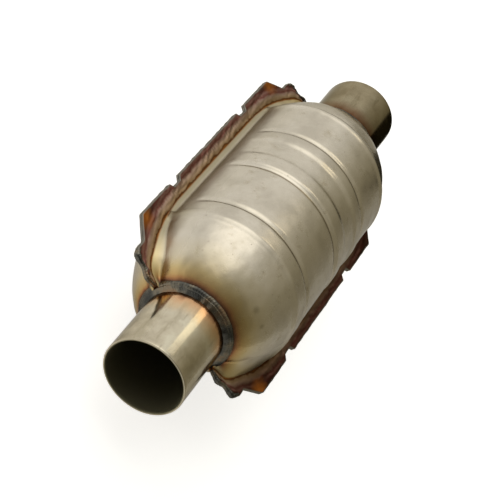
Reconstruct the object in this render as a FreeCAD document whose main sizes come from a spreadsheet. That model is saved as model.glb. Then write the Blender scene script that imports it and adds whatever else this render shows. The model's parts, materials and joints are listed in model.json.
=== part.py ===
import FreeCAD, Part
import math
import os

import Sketcher
from FreeCAD import Placement, Rotation, Vector

# A round two-shell catalytic converter. The exhaust runs along X, in at -X and out at +X.
# The origin is the middle of the body on the pipes' axis. The two half shells meet at z = 0.

doc = FreeCAD.newDocument("catalytic_converter")
sheet = doc.addObject("Spreadsheet::Sheet", "sizes")

# name, value in mm (or degrees), what it is
SIZES = [
    ("overall_length", 323.6, "pipe mouth to pipe mouth"),
    ("pipe_radius", 25.4, "outside radius of the 2 in pipes"),
    ("pipe_wall", 1.5, "pipe wall"),
    ("pipe_insert", 12.0, "how far a pipe runs in past the shells' neck edge"),
    ("neck_gap", 0.15, "radial slip clearance between neck and pipe"),
    ("sheet", 1.5, "sheet thickness of the shells"),
    ("barrel_radius", 51.7, "outside radius of the plain barrel"),
    ("neck_edge", 112.0, "station of the neck's edge, from the middle"),
    ("shoulder", 74.0, "station where a dome ends and the shoulder starts"),
    ("shoulder_drop", 1.3, "how much lower than the barrel the dome ends"),
    ("shoulder_rise", 4.0, "length of the step from dome to barrel"),
    ("dome_radius", 74.0, "radius of the dome's arc in side view"),
    ("dome_bands", 2.0, "how many cone bands follow that arc"),
    ("bead_height", 0.8, "how far the front and rear beads stand out"),
    ("centre_bead_height", 0.5, "how far the middle bead stands out"),
    ("bead_slope", 3.6, "length of a bead's rising side"),
    ("bead_fall", 1.6, "length of the middle bead's falling side"),
    ("groove_depth", 0.7, "depth of the rolled grooves below the barrel"),
    ("groove_half", 2.2, "half width of a groove"),
    ("front_groove", -54.0, "station of the front groove"),
    ("centre_bead_start", -9.5, "station of the groove at the middle bead's front"),
    ("centre_bead_end", 5.0, "station where the middle bead ends"),
    ("rear_bead_start", 20.5, "station where the rear bead starts"),
    ("rear_groove", 34.5, "station of the groove that ends the rear bead"),
    ("root_half", 55.0, "half width of the body where it meets the flange"),
    ("root_straight", 56.0, "station where the root line starts to draw in"),
    ("root_end_half", 39.4, "half width of the flared foot at its end"),
    ("root_bow", 119.0, "radius of the root line's bow beside a dome"),
    ("root_chords", 3.0, "how many straight runs follow that bow"),
    ("flare_angle", 40.0, "slope of the flared foot from upright"),
    ("flare_height", 14.0, "height of the flared foot, its top hidden in the body"),
    ("flange_half", 65.0, "half width across the flange's tabs"),
    ("centre_tab_half", 40.2, "half length of the long middle tab"),
    ("notch_length", 12.7, "length of a notch at the tabs' edge"),
    ("notch_depth", 3.2, "depth of a notch"),
    ("notch_side", 2.4, "length of a notch's slanted side"),
    ("outer_tab_end", 87.2, "station of the outer tabs' corner"),
    ("lug_half", 53.2, "half width of the end lugs"),
    ("lug_end", 110.6, "station of the end lugs' edge"),
    ("lug_corner", 3.4, "corner cut of the end lugs"),
    ("lug_step", 41.5, "half width where the lug steps out to the neck"),
    ("toe_end", 112.8, "station of the flange's toes beside the neck"),
    ("toe_inner", 31.5, "half width at a toe's inner corner"),
    ("weld_toe_dome", 107.7, "station of the neck weld's toe on the dome, where the foot ends"),
    ("weld_toe_pipe", 114.6, "station of the neck weld's toe on the pipe"),
    ("weld_crown", 29.9, "radius of the neck weld's crown"),
    ("weld_crown_station", 111.6, "station of the neck weld's crown"),
    ("edge_bead", 2.3, "radius of the flange ends' weld bead"),
    ("edge_stand", 0.8, "how far that bead's centre stands out from the sheet's edge"),
    ("edge_start", 100.5, "station where the edge beads start"),
    ("lump_size", 3.6, "radius of the lump where an edge bead turns the lug's corner"),
    ("lump_height", 2.9, "height of that lump above and below the seam"),
    ("lump_slope", 25.0, "slope of the lump's sides from upright"),
    ("brick_length", 61.0, "length of a ceramic block"),
    ("brick_gap", 10.0, "gap between the two blocks"),
    ("mat_thickness", 4.9, "thickness of the fibre mats"),
    ("mat_length", 51.0, "length of a mat"),
]

for row, (name, value, note) in enumerate(SIZES, start=1):
    sheet.set(f"A{row}", name)
    sheet.set(f"B{row}", str(value))
    sheet.set(f"C{row}", note)
    sheet.setAlias(f"B{row}", name)
doc.recompute()


class Size:
    """A number of the sheet, or a sum of them, with the expression that gives it."""

    def __init__(self, text, value):
        self.text = text
        self.value = value

    def __add__(self, other):
        other = size(other)
        return Size(f"({self.text} + {other.text})", self.value + other.value)

    def __sub__(self, other):
        other = size(other)
        return Size(f"({self.text} - {other.text})", self.value - other.value)

    def __mul__(self, other):
        other = size(other)
        return Size(f"({self.text} * {other.text})", self.value * other.value)

    def __truediv__(self, other):
        other = size(other)
        return Size(f"({self.text} / {other.text})", self.value / other.value)

    def __neg__(self):
        return Size(f"(-{self.text})", -self.value)


def size(number):
    """A plain number as a Size."""
    return number if isinstance(number, Size) else Size(repr(float(number)), float(number))


def cell(name):
    """The sheet's cell of that name."""
    return Size(f"{sheet.Name}.{name}", float(sheet.get(name)))


def tangent(angle):
    return Size(f"tan({angle.text} * 1 deg)", math.tan(math.radians(angle.value)))


def cosine(angle):
    return Size(f"cos({angle.text} * 1 deg)", math.cos(math.radians(angle.value)))


def root(number):
    return Size(f"sqrt({number.text})", math.sqrt(number.value))


def plane(body, role):
    """The body's own origin plane, such as XY_Plane."""
    return next(item for item in body.Origin.OriginFeatures if item.Role == role)


def new_sketch(body, name, role, lift=None):
    """A sketch on one of the body's origin planes, lifted off it along its normal."""
    sketch = body.newObject("Sketcher::SketchObject", name)
    sketch.AttachmentSupport = [(plane(body, role), "")]
    sketch.MapMode = "FlatFace"
    if lift is not None:
        sketch.setExpression("AttachmentOffset.Base.z", lift.text)
    doc.recompute()
    return sketch


def bind(sketch, kind, *where, value):
    """A dimension of the sketch, bound to the sheet."""
    index = sketch.addConstraint(Sketcher.Constraint(kind, *where, value.value))
    sketch.setExpression(f"Constraints[{index}]", value.text)


def draw_loop(sketch, points, closed=True):
    """A loop of straight lines through the points; not closed, it is an open path."""
    corners = [(size(x), size(y)) for x, y in points]
    places = [Vector(x.value, y.value, 0) for x, y in corners]
    count = len(corners) if closed else len(corners) - 1
    for i in range(count):
        sketch.addGeometry(Part.LineSegment(places[i], places[(i + 1) % len(places)]), False)
    for i in range(count if closed else count - 1):
        sketch.addConstraint(Sketcher.Constraint("Coincident", i, 2, (i + 1) % count, 1))
    for i, (x, y) in enumerate(corners):
        line, end = (i, 1) if i < count else (count - 1, 2)
        bind(sketch, "DistanceX", -1, 1, line, end, value=x)
        bind(sketch, "DistanceY", -1, 1, line, end, value=y)
    return sketch


def draw_circle(sketch, radius):
    """A circle about the sketch's origin."""
    circle = Part.Circle(Vector(0, 0, 0), Vector(0, 0, 1), radius.value)
    index = sketch.addGeometry(circle, False)
    sketch.addConstraint(Sketcher.Constraint("Coincident", index, 3, -1, 1))
    bind(sketch, "Radius", index, value=radius)


def draw_octagon(sketch, middle, radius):
    """A regular octagon about a middle point."""
    spokes = [math.radians(45 * i) for i in range(8)]
    draw_loop(sketch, [(middle[0] + radius * math.cos(a), middle[1] + radius * math.sin(a)) for a in spokes])


def new_body(name):
    body = doc.addObject("PartDesign::Body", name)
    body.Label = name
    return body


def add_pad(body, sketch, length):
    """A pad of the sketch along its normal."""
    pad = body.newObject("PartDesign::Pad", sketch.Name + "_pad")
    pad.Profile = sketch
    pad.setExpression("Length", length.text)
    doc.recompute()
    return pad


def lean_in(body, pad, angle):
    """The pad's upright sides leant inwards from its underside."""
    faces = list(enumerate(pad.Shape.Faces, start=1))
    lean = body.newObject("PartDesign::Draft", pad.Name + "_lean")
    lean.Base = (pad, [f"Face{i}" for i, face in faces if abs(face.normalAt(0, 0).z) < 0.1])
    foot = next(f"Face{i}" for i, face in faces if face.normalAt(0, 0).z < -0.9)
    lean.NeutralPlane = (pad, [foot])
    lean.setExpression("Angle", f"{angle.text} * 1 deg")
    doc.recompute()
    return lean


def add_turn(body, sketch, angle):
    """The sketch turned about X."""
    turn = body.newObject("PartDesign::Revolution", sketch.Name + "_turn")
    turn.Profile = sketch
    turn.ReferenceAxis = (sketch, ["H_Axis"])
    turn.Angle = angle
    doc.recompute()
    return turn


# ------------------------------------------------------------ values used by several pieces
mouth = cell("overall_length") / 2
thick = cell("sheet")
pipe_outer = cell("pipe_radius")
pipe_bore = pipe_outer - cell("pipe_wall")
neck_bore = pipe_outer + cell("neck_gap")
neck_outer = neck_bore + thick
neck_edge = cell("neck_edge")
barrel = cell("barrel_radius")
shoulder = cell("shoulder")
foot_end = cell("weld_toe_dome")
pipe_inner_end = neck_edge - cell("pipe_insert")
mat_outer = barrel - thick
brick_radius = mat_outer - cell("mat_thickness")



def bowed(start, stop, radius, inset):
    """Two functions of an arc from start to stop that bows away from the origin, set in by inset.

    The first gives its height at a station, the second its station at a height.
    """
    run, rise = start[0] - stop[0], stop[1] - start[1]
    chord = root(run * run + rise * rise)
    reach = root(radius * radius - chord * chord / 4) / chord
    middle = ((start[0] + stop[0]) / 2 - rise * reach, (start[1] + stop[1]) / 2 - run * reach)
    arc = radius - inset

    def height(station):
        along = station - middle[0]
        return middle[1] + root(arc * arc - along * along)

    def station(height):
        up = height - middle[1]
        return middle[0] + root(arc * arc - up * up)

    return height, station


def dome(inset):
    """The dome's arc in side view, from the neck's edge up to the shoulder."""
    top = barrel - cell("shoulder_drop")
    return bowed((neck_edge, neck_outer), (shoulder, top), cell("dome_radius"), inset)


def shared_out(first, last, count):
    """Stations between first and last that share the way out evenly, both ends included."""
    parts = round(count.value)
    return [first + (last - first) * (i / parts) for i in range(parts + 1)]


def dome_run(inset, lip):
    """Side view of a dome, set in by inset, from the shoulder down to a lip of that radius."""
    height, station = dome(inset)
    stations = shared_out(shoulder, station(lip), cell("dome_bands"))
    return [(x, height(x)) for x in stations[:-1]] + [(stations[-1], lip)]


def groove(station, front_level, rear_level):
    """A rolled groove between the levels beside it."""
    half, floor = cell("groove_half"), barrel - cell("groove_depth")
    return [(station - half, front_level), (station, floor), (station + half, rear_level)]


def outside_view(sketch):
    """Side view of the shell's outside: domes, shoulders, beads and grooves."""
    crest, centre_crest = barrel + cell("bead_height"), barrel + cell("centre_bead_height")
    step = shoulder - cell("shoulder_rise")
    side = dome_run(size(0), neck_outer) + [(neck_edge, size(0))]
    barrel_run = [(-step, crest)] + groove(cell("front_groove"), crest, barrel)
    barrel_run += groove(cell("centre_bead_start"), barrel, centre_crest) + [
        (cell("centre_bead_end"), centre_crest),
        (cell("centre_bead_end") + cell("bead_fall"), barrel),
        (cell("rear_bead_start"), barrel),
        (cell("rear_bead_start") + cell("bead_slope"), crest),
    ] + groove(cell("rear_groove"), crest, barrel) + [(step - cell("bead_slope"), barrel), (step, crest)]
    return draw_loop(sketch, [(-x, y) for x, y in reversed(side)] + barrel_run + side)


def inside_view(sketch, inset, end):
    """Side view of the shell's inside, one sheet in; its barrel is plain, so the mats seat on it."""
    wall_end = (shoulder - cell("shoulder_rise"), barrel - inset)
    side = [wall_end] + dome_run(inset, neck_bore) + [(end, neck_bore), (end, size(0))]
    return draw_loop(sketch, [(-x, y) for x, y in reversed(side)] + side)


def foot_outline(sketch, inset):
    """Plan view of the flared foot, set in by inset."""
    start = (foot_end, cell("root_end_half"))
    stop = (cell("root_straight"), cell("root_half"))
    height, station = bowed(start, stop, cell("root_bow"), inset)
    runs = shared_out(cell("root_straight"), foot_end - inset, cell("root_chords"))
    quarter = [(x, height(x)) for x in runs]
    back = [(-x, y) for x, y in reversed(quarter)]
    half = back + quarter
    return draw_loop(sketch, half + [(-x, -y) for x, y in half])


def flared_foot(body, lift, inset):
    """The foot that flares from the round body out to the flange."""
    sketch = foot_outline(new_sketch(body, body.Name + "_foot", "XY_Plane", lift), inset)
    return lean_in(body, add_pad(body, sketch, cell("flare_height")), cell("flare_angle"))


def half_turn(body, sketch):
    """The side view turned through the upper half, a quarter turn to each side."""
    turn = add_turn(body, sketch, 180)
    turn.Midplane = True
    doc.recompute()
    return turn


def flange_quarter():
    """Outline of a quarter of the flange, from the middle tab to the inner corner of the toe."""
    edge, deep = cell("flange_half"), cell("flange_half") - cell("notch_depth")
    first, last = cell("centre_tab_half"), cell("centre_tab_half") + cell("notch_length")
    lug, corner = cell("lug_half"), cell("lug_corner")
    return [
        (first, edge),
        (first + cell("notch_side"), deep),
        (last - cell("notch_side"), deep),
        (last, edge),
        (cell("outer_tab_end"), edge),
        (cell("outer_tab_end") + edge - lug, lug),
        (cell("lug_end") - corner, lug),
        (cell("lug_end"), lug - corner),
        (cell("lug_end"), cell("lug_step")),
        (cell("toe_end"), cell("lug_step") - cell("toe_end") + cell("lug_end")),
        (cell("toe_end"), cell("toe_inner")),
        (foot_end, cell("toe_inner")),
    ]


# ------------------------------------------------------------------------ the two half shells
outer_form = new_body("shell_outer_form")
flared_foot(outer_form, thick, size(0))
half_turn(outer_form, outside_view(new_sketch(outer_form, "outside_view", "XZ_Plane")))
quarter = flange_quarter()
back = [(-x, y) for x, y in reversed(quarter)]
flange_outline = back + quarter
flange_outline += [(-x, -y) for x, y in flange_outline]
flange_sketch = draw_loop(new_sketch(outer_form, "flange_outline", "XY_Plane"), flange_outline)
add_pad(outer_form, flange_sketch, thick)

# the foot's wall is one sheet thick square to its slope, and starts from a flange one sheet high
inner_form = new_body("shell_inner_form")
foot_inset = thick / cosine(cell("flare_angle")) - thick * tangent(cell("flare_angle"))
flared_foot(inner_form, size(0), foot_inset)
half_turn(inner_form, inside_view(new_sketch(inner_form, "inside_view", "XZ_Plane"), thick, neck_edge + 1))


def half_shell(name, turn_over):
    """One stamped half shell; the lower one is the same stamping turned over about the pipes' axis."""
    shell = doc.addObject("Part::Cut", name)
    shell.Label = name
    shell.Base = outer_form
    shell.Tool = inner_form
    shell.Placement = Placement(Vector(0, 0, 0), Rotation(Vector(1, 0, 0), turn_over))
    return shell


upper_shell = half_shell("upper_shell", 0)
lower_shell = half_shell("lower_shell", 180)
doc.recompute()


# ------------------------------------------------------------------ pipes and their neck welds
def pipe(name, turn):
    """A pipe stub, drawn at the inlet and turned about Z to its own end."""
    body = new_body(name)
    wall = new_sketch(body, name + "_wall", "XZ_Plane")
    draw_loop(wall, [(-mouth, pipe_bore), (-pipe_inner_end, pipe_bore),
                     (-pipe_inner_end, pipe_outer), (-mouth, pipe_outer)])
    add_turn(body, wall, 360)
    body.Placement = Placement(Vector(0, 0, 0), Rotation(Vector(0, 0, 1), turn))
    return body


def neck_weld(name, turn):
    """The fillet bead between a pipe and the shells' neck, lying on both."""
    body = new_body(name)
    bead = new_sketch(body, name + "_bead", "XZ_Plane")
    # the toe lies on the dome's last cone band
    high, low = dome_run(size(0), neck_outer)[-2:]
    toe_radius = low[1] + (high[1] - low[1]) * (low[0] - foot_end) / (low[0] - high[0])
    draw_loop(bead, [
        (-cell("weld_toe_pipe"), pipe_outer),
        (-cell("weld_crown_station"), cell("weld_crown")),
        (-foot_end, toe_radius),
        (-neck_edge, neck_outer),
        (-neck_edge, pipe_outer),
    ])
    add_turn(body, bead, 360)
    body.Placement = Placement(Vector(0, 0, 0), Rotation(Vector(0, 0, 1), turn))
    return body


inlet_pipe = pipe("inlet_pipe", 0)
outlet_pipe = pipe("outlet_pipe", 180)
inlet_weld = neck_weld("inlet_weld", 0)
outlet_weld = neck_weld("outlet_weld", 180)


# ----------------------------------------------------------- edge beads at the flanges' four ends
def edge_weld(name, mirror_x, mirror_y, ring):
    """The bead that runs around a flange's end, from the outer tab to the neck weld."""
    body = new_body(name + "_run")
    stand, lug, corner = cell("edge_stand"), cell("lug_half"), cell("lug_corner")
    end, toe = cell("lug_end") + stand, cell("toe_end") + stand
    line = [
        (cell("edge_start"), lug + stand),
        (cell("lug_end") - corner, lug + stand),
        (end, lug - corner),
        (end, cell("lug_step")),
        (toe, cell("lug_step") - cell("toe_end") + cell("lug_end")),
        (toe, cell("toe_inner")),
    ]
    path = new_sketch(body, name + "_path", "XY_Plane")
    draw_loop(path, [(x * mirror_x, y * mirror_y) for x, y in line], closed=False)
    section = new_sketch(body, name + "_section", "YZ_Plane", cell("edge_start") * mirror_x)
    radius = cell("edge_bead")
    draw_octagon(section, ((lug + stand) * mirror_y, size(0)), radius)
    run = body.newObject("PartDesign::AdditivePipe", name + "_sweep")
    run.Profile = section
    run.Spine = (path, [f"Edge{i}" for i in range(1, len(line))])
    run.Transition = "Right corner"
    doc.recompute()
    middle = ((cell("lug_end") - corner / 2 + stand) * mirror_x, (lug - corner / 2 + stand) * mirror_y)
    lump = new_body(name + "_lump")
    plan = new_sketch(lump, name + "_lump_plan", "XY_Plane")
    draw_octagon(plan, middle, cell("lump_size"))
    lean_in(lump, add_pad(lump, plan, cell("lump_height")), cell("lump_slope"))
    under = doc.addObject("Part::Mirroring", name + "_lump_under")
    under.Source = lump
    under.Normal = Vector(0, 0, 1)
    bead = doc.addObject("Part::MultiFuse", name + "_bead")
    bead.Shapes = [body, lump, under]
    around = doc.addObject("Part::MultiFuse", name + "_around")
    around.Shapes = [upper_shell, lower_shell, ring]
    weld = doc.addObject("Part::Cut", name)
    weld.Label = name
    weld.Base = bead
    weld.Tool = around
    return weld


edge_welds = [
    edge_weld("inlet_left_weld", -1, 1, inlet_weld),
    edge_weld("inlet_right_weld", -1, -1, inlet_weld),
    edge_weld("outlet_left_weld", 1, 1, outlet_weld),
    edge_weld("outlet_right_weld", 1, -1, outlet_weld),
]
doc.recompute()


# ------------------------------------------------------------------------ the ceramic inside
def drum(name, start, length, outside, inside=None):
    """A round block along X from start, with a round hole where inside is given."""
    body = new_body(name)
    face = new_sketch(body, name + "_face", "YZ_Plane", start)
    draw_circle(face, outside)
    if inside is not None:
        draw_circle(face, inside)
    add_pad(body, face, length)
    return body


block = cell("brick_length")
mat_inset = (block - cell("mat_length")) / 2
rear_start = cell("brick_gap") / 2
front_start = -(rear_start + block)
inside_pieces = []
for name, start in (("front", front_start), ("rear", rear_start)):
    inside_pieces.append(drum(name + "_brick", start, block, brick_radius))
    inside_pieces.append(drum(name + "_mat", start + mat_inset, cell("mat_length"), mat_outer, brick_radius))
doc.recompute()

# ------------------------------------------------------------------------------ check and write
pieces = [upper_shell, lower_shell, inlet_pipe, outlet_pipe, inlet_weld, outlet_weld]
pieces += edge_welds + inside_pieces
for item in doc.Objects:
    if "Invalid" in item.State or "Error" in item.State:
        raise RuntimeError(f"{item.Name} didn't build: {item.State}")
for piece in pieces:
    if piece.Shape.isNull() or not piece.Shape.isValid() or len(piece.Shape.Solids) != 1:
        raise RuntimeError(f"{piece.Label} isn't one valid solid")

os.makedirs("parts", exist_ok=True)
for piece in pieces:
    piece.Shape.exportStep(f"parts/{piece.Label}.step")
    box = piece.Shape.BoundBox
    spans = f"{box.XLength:.1f} x {box.YLength:.1f} x {box.ZLength:.1f} mm"
    print(f"{piece.Label}: {piece.Shape.Volume / 1000:.1f} cm3, {spans}")
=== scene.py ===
# %% [markdown]
# # A welded catalytic converter
# Two stamped steel half shells are laid rim to rim, and a resistance weld is rolled along their
# flanges. Short pipes are slipped into the necks and fillet welded, and a bead closes each end of
# the flanges. Two ceramic blocks sit inside in fibre mats. The lesson builds the pressed sheet,
# the beads and the pipes as surfaces worked out with numpy, and gives each its own metal.

# %% Load the frame
import json
import math
import bmesh
import bpy
import numpy as np
from mathutils import Matrix, Vector


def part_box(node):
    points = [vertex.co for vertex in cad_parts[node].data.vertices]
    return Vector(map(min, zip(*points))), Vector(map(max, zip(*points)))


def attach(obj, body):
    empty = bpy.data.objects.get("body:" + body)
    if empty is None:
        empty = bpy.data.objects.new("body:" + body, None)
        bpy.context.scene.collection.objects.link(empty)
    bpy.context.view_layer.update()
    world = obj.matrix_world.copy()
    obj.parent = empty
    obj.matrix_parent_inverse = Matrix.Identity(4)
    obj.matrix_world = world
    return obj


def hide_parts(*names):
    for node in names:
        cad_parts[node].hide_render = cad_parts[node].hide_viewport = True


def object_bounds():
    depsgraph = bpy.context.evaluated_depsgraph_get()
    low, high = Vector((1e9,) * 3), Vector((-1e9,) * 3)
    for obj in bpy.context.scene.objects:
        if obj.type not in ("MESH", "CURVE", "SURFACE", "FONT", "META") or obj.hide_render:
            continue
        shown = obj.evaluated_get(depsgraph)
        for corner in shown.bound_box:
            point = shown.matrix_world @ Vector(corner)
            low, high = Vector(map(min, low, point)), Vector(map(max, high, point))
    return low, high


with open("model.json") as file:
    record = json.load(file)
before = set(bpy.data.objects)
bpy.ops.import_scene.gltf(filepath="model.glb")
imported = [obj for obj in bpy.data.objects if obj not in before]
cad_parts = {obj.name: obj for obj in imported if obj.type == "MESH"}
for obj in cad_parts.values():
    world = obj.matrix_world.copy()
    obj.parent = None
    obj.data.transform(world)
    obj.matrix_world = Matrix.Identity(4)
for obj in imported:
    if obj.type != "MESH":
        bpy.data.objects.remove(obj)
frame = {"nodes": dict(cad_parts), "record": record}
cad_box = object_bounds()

MM = 0.001
BODY = "root"
print("CAD box:", [list(corner) for corner in cad_box])

# %% [markdown]
# ## Sizes
# Everything is measured from the solids, so that the dressed part stays in the frame: the pipes give
# the tube's radius, the shells give the barrel and the flanges. What the solids can't say, such as
# the stations of the beads, is written here once, in millimetres. Stations are places along X, and
# the two ends of the part are alike, so most tables go by the distance from mid body.

# %% Sizes read from the frame, in millimetres
def corners(node):
    """Lowest and highest corner of a CAD node in millimetres."""
    low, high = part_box(node)
    return np.array(low) / MM, np.array(high) / MM


pipe_low, pipe_high = corners("inlet_pipe")
shell_high = corners("upper_shell")[1]
MOUTH, PIPE_INNER_END = -pipe_low[0], -pipe_high[0]
PIPE = pipe_high[1]
BORE = frame["record"]["mounts"][0]["dims"]["r_mm"]
# thickness of the sheet, and how far a neck stands clear of its pipe
SHEET, SLIP = 1.5, 0.15
NECK = PIPE + SLIP + SHEET
# station where the necks end
NECK_EDGE = 112.0
# height of a bead over the barrel, and drop at each shoulder
BEAD_RISE, SHOULDER_DROP = 0.8, 1.3
BARREL = shell_high[2] - BEAD_RISE
FLANGE = shell_high[1]
print(f"pipe {PIPE:.2f}, bore {BORE}, barrel {BARREL:.2f}, flange {FLANGE:.1f}, mouth {MOUTH:.1f} mm")

# %% [markdown]
# ## Small tools
# A grid of points becomes a mesh whose quads all face the same way. A seam that closes on itself is
# closed by joining the last column or row to the first, and a pole by merging its ring of points, so
# there is no open edge. What is handmade isn't quite regular, and a sum of sines with seeded
# directions gives that: it is smooth, the same on each run, and its wavelength is set in mm.

# %% Mesh tools
def grid_faces(rows, columns, round_columns=False, round_rows=False):
    """Quads (i, j), (i+1, j), (i+1, j+1), (i, j+1) of a grid. A round direction joins its ends."""
    i, j = np.meshgrid(np.arange(rows if round_rows else rows - 1),
                       np.arange(columns if round_columns else columns - 1), indexing="ij")
    below, beside = (i + 1) % rows, (j + 1) % columns
    quads = [i * columns + j, below * columns + j, below * columns + beside, i * columns + beside]
    return np.stack(quads, -1).reshape(-1, 4)


def make_mesh(name, points, faces, layers=None):
    """An object at the origin from points in millimetres, smooth shaded, with a float layer per point."""
    mesh = bpy.data.meshes.new(name)
    mesh.from_pydata((points.reshape(-1, 3) * MM).tolist(), [], faces.tolist())
    for title, values in (layers or {}).items():
        layer = mesh.attributes.new(title, "FLOAT", "POINT")
        layer.data.foreach_set("value", np.asarray(values, dtype=np.float32).ravel())
    mesh.polygons.foreach_set("use_smooth", np.ones(len(mesh.polygons), dtype=bool))
    mesh.update()
    item = bpy.data.objects.new(name, mesh)
    bpy.context.scene.collection.objects.link(item)
    print(f"{name}: {len(mesh.vertices)} points, {len(mesh.polygons)} faces")
    return item


def close_poles(item):
    """The same object, with the points that lie in one place at a pole made one point."""
    form = bmesh.new()
    form.from_mesh(item.data)
    bmesh.ops.remove_doubles(form, verts=form.verts, dist=1e-7)
    form.to_mesh(item.data)
    form.free()
    return item


def smooth_step(x, low, high):
    """3t^2 - 2t^3 with t = (x - low) / (high - low) held between 0 and 1."""
    t = np.clip((x - low) / (high - low), 0, 1)
    return t * t * (3 - 2 * t)


def waves(seed, *coords, scale=20.0, count=9):
    """A smooth random field: count sines of random direction, about scale mm long, over sqrt(count)."""
    rng = np.random.default_rng(seed)
    total = 0.0
    for _ in range(count):
        direction = rng.normal(size=len(coords))
        direction *= rng.uniform(0.6, 1.6) * 2 * math.pi / scale / np.linalg.norm(direction)
        total = total + np.sin(sum(c * d for c, d in zip(coords, direction)) + rng.uniform(0, 6.28))
    return total / math.sqrt(count)


def mixed_waves(seed, parts, *coords):
    """The sum of size * field over the parts, which are (size, length in mm), with seeds that count up."""
    return sum(size * waves(seed + k, *coords, scale=length) for k, (size, length) in enumerate(parts))


def by_distance(x, table):
    """What a table of (distance from mid body, value) gives at station x, with straight steps."""
    return np.interp(np.abs(x), *np.array(table).T)


print("a round strip of 3 by 4 points has", len(grid_faces(3, 4, round_columns=True)), "quads")

# %% [markdown]
# ## The body's side view
# The press leaves a barrel with rolled beads and grooves, a shoulder at each end, and a dome that
# draws in to the neck. It could be modelled with edge loops and bevels, but the side view is one
# line, so it is cheaper and exact to write the line's corners and let a narrow bell curve run along
# it: that rounds every corner by the same radius, as a press does.

# %% Side view of the body
SHOULDER, DOME_RADIUS = 74.0, 74.0
DOME_TOP = BARREL - SHOULDER_DROP
# spacing of the line's points, and width of the bell curve in mm and in points
STEP, ROUNDING, HALF_BELL = 0.2, 0.85, 15
# (station, level over the plain barrel)
BARREL_CORNERS = np.array([
    (-74.0, -SHOULDER_DROP), (-73.2, -SHOULDER_DROP), (-69.6, BEAD_RISE),
    (-56.6, 0.75), (-54.9, -0.8), (-53.5, -0.8), (-51.6, 0.2),
    (-11.9, 0.1), (-9.9, -0.9), (-8.9, -0.9), (-7.0, BEAD_RISE), (3.6, 0.75), (6.6, -0.1),
    (20.6, -0.1), (23.6, BEAD_RISE), (32.4, BEAD_RISE), (34.0, -0.9), (35.0, -0.9), (37.0, 0.1),
    (66.4, 0), (70.0, BEAD_RISE), (73.4, -SHOULDER_DROP), (74.0, -SHOULDER_DROP),
])


def dome_height(x):
    """Height of the arc of DOME_RADIUS through (SHOULDER, DOME_TOP) and (NECK_EDGE, NECK)."""
    start, stop = np.array([SHOULDER, DOME_TOP]), np.array([NECK_EDGE, NECK])
    chord = stop - start
    length = np.linalg.norm(chord)
    inward = np.array([chord[1], -chord[0]]) / length
    middle = (start + stop) / 2 + inward * math.sqrt(DOME_RADIUS**2 - length**2 / 4)
    return middle[1] + np.sqrt(np.maximum(DOME_RADIUS**2 - (x - middle[0]) ** 2, 0))


def soften(values):
    """The values with a bell curve, exp(-(s / ROUNDING)^2 / 2) at distance s, run along them."""
    bell = np.exp(-0.5 * (np.arange(-HALF_BELL, HALF_BELL + 1) * STEP / ROUNDING) ** 2)
    return np.convolve(np.pad(values, HALF_BELL, mode="edge"), bell / bell.sum(), mode="valid")


fine = np.arange(-NECK_EDGE, NECK_EDGE + 0.01, STEP)
on_dome = np.abs(fine) > SHOULDER
beaded = BARREL + np.interp(fine, *BARREL_CORNERS.T)
beaded = np.where(on_dome, dome_height(np.abs(fine)), beaded)
beaded_level, plain_level = soften(beaded), soften(np.where(on_dome, beaded, BARREL))
print("barrel stations", len(fine), "from", beaded_level.min().round(2), "to", beaded_level.max().round(2))

# %% [markdown]
# The beads don't reach the flanges: the sheet there is held in the die's edge and stays plain. So
# the side view is mixed with a plain one by the angle from the flange.

# %% Radius of the body
BEAD_FADE = (math.radians(10), math.radians(32))
BEADS_END = 66.0


def body_radius(x, angle):
    """Radius at station x and angle from the flange: plain + (beaded - plain) * share.

    The share rises from 0 to 1 over BEAD_FADE. It is 1 past BEADS_END, because the shoulders and
    the domes run right round.
    """
    share = smooth_step(np.minimum(angle, math.pi - angle), *BEAD_FADE)
    share = np.where(np.abs(x) > BEADS_END, 1.0, share)
    plain, full = np.interp(x, fine, plain_level), np.interp(x, fine, beaded_level)
    return plain + (full - plain) * share


print("radius at station 28, by the flange and at the top:",
      body_radius(28.0, 0.0).round(2), body_radius(28.0, math.pi / 2).round(2))

# %% [markdown]
# ## The flanges' outline
# Seen from above, the flange has long tabs with a notch between them, and a lug beside each dome
# that ends in a toe by the neck. The root is the line where the round body meets the flat flange.
# Both are tables of corners, because a sheared edge is straight from corner to corner.

# %% Plan view of the flange and the root line
# (distance from mid body, half width)
EDGE_LINE = [
    (0, FLANGE), (40.2, FLANGE), (42.4, 61.9), (50.6, 61.8), (52.9, FLANGE), (87.0, FLANGE),
    (88.0, 64.5), (98.6, 53.9), (100.2, 53.2), (106.9, 53.2), (110.3, 50.2), (110.55, 48.6),
    (110.6, 42.0), (110.75, 41.2), (NECK_EDGE, 39.6),
]
ROOT_LINE = [
    (0, 55.4), (56, 55.2), (68, 54.0), (76, 52.6), (85, 50.2), (90, 48.3), (94, 46.8), (98, 45.0),
    (102, 43.3), (106, 41.0), (108, 39.2), (109.4, 37.2), (110.6, 33.6), (111.3, 30.5), (NECK_EDGE, 28.6),
]
TAB_CORNER = (88.5, 63.5)
SHEAR_WAVE = 0.12


def tab_edge(x, seed):
    """Half width of the flange at a station, with the small waves of a sheared and heated edge."""
    return by_distance(x, EDGE_LINE) + SHEAR_WAVE * waves(seed, x, scale=9)


def root_half(x):
    """Half width of the body where it meets the flange."""
    return by_distance(x, ROOT_LINE)


middle_and_notch = np.array([0.0, 46.0])
widths = by_distance(middle_and_notch, EDGE_LINE) - root_half(middle_and_notch)
print("flange width at mid body and in a notch:", widths.round(1), "mm")

# %% [markdown]
# ## Stations
# Each row of the shell's grid is one cut across the body. Rows stand close together where the side
# view or the outline turns, and 2 mm apart elsewhere, which keeps the mesh light and its corners true.

# %% Stations
TOE_STATIONS = [108.6, 109.4, 110.0, 111.3]
BEADED_SPANS = ((-76, -50), (-13, 8), (18, 38), (64, 76))
LEAST_ROW = 0.04


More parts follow.
